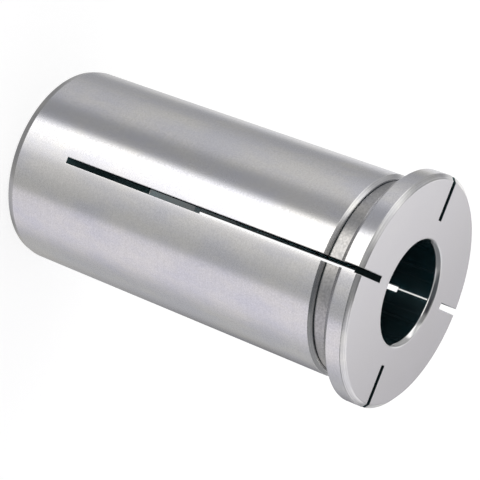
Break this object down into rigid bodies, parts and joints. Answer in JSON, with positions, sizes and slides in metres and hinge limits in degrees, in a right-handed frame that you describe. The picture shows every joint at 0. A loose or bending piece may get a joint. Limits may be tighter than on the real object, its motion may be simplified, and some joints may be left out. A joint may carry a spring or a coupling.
{
  "type": "hydraulic chuck reduction sleeve",
  "caption": "Slotted steel reduction sleeve with a collar and a pulling groove, which fits a thinner tool shank to a hydraulic chuck's bore.",
  "frame": {"origin": "centre of the plain back end, on the surface the sleeve stands on", "axes": "+Z along the bore axis from the plain back end to the collar; one slot faces -Y, and the four lie on the X and Y axes"},
  "size_m": [0.0364, 0.0364, 0.0654],
  "materials": {
    "sleeve": "hardened steel, ground on the shank, collar and face, turned in the groove and bore"
  },
  "bodies": {
    "root": {"sleeve": "sleeve"}
  },
  "joints": []
}
